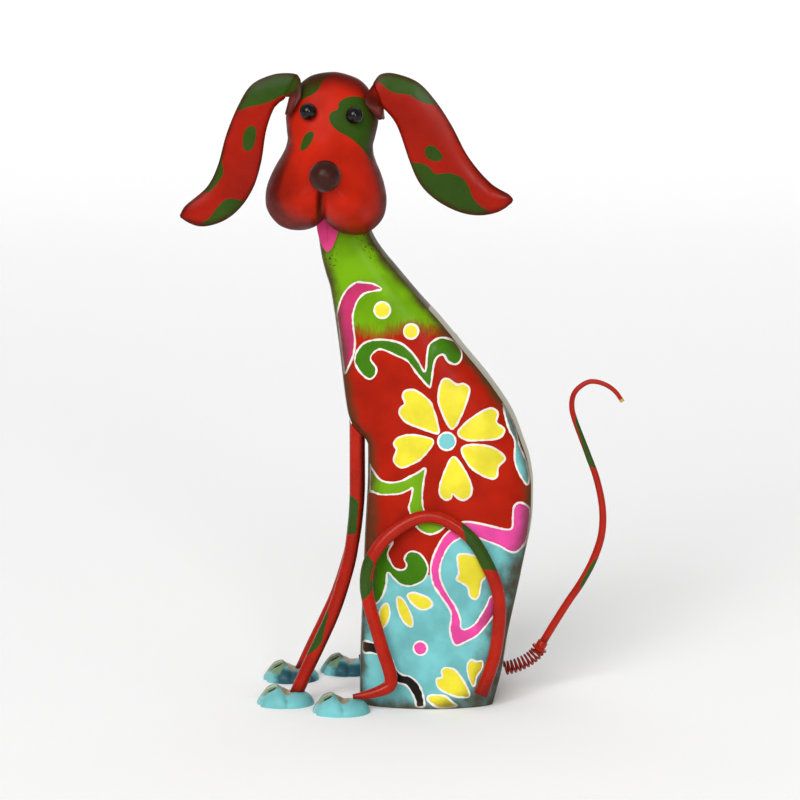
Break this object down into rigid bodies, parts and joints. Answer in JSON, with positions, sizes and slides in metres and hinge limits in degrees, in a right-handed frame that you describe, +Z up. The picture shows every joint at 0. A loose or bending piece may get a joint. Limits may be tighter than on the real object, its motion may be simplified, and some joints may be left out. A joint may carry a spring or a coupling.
{
  "type": "painted metal dog sculpture",
  "caption": "Sitting sheet-metal dog with drooping ears, head turned to the side, arched tube legs, toed paws and a curled tail on a coil spring; folk flower paint.",
  "frame": {"origin": "middle of the body's flat underside", "axes": "+X from the chest to the tail, -Y towards the side that the face looks at, +Z up"},
  "size_m": [0.3012, 0.1551, 0.4332],
  "materials": {
    "body_enamel": "gloss enamel in many colours over embossed sheet steel",
    "head_enamel": "satin enamel, airbrushed darker at the edges",
    "ear_enamel": "satin enamel, airbrushed darker at the edges",
    "nose_gloss": "gloss enamel",
    "eye_bead": "gloss bead",
    "tongue_enamel": "satin enamel",
    "leg_enamel": "gloss enamel on bent tube",
    "paw_enamel": "enamel with wiped brown recesses",
    "spring_enamel": "enamel on spring wire",
    "tail_enamel": "enamel on bent rod"
  },
  "bodies": {
    "root": {"body": "body_enamel", "head": "head_enamel", "nose": "nose_gloss", "eye_left": "eye_bead", "eye_right": "eye_bead", "tongue": "tongue_enamel", "ear_left": "ear_enamel", "ear_right": "ear_enamel", "front_leg_near": "leg_enamel", "front_leg_far": "leg_enamel", "hind_leg_near": "leg_enamel", "hind_leg_far": "leg_enamel", "front_paw_near": "paw_enamel", "front_paw_far": "paw_enamel", "hind_paw_near": "paw_enamel", "hind_paw_far": "paw_enamel", "tail_spring": "spring_enamel", "tail_ferrule": "tail_enamel", "tail_rod": "tail_enamel"}
  },
  "joints": []
}
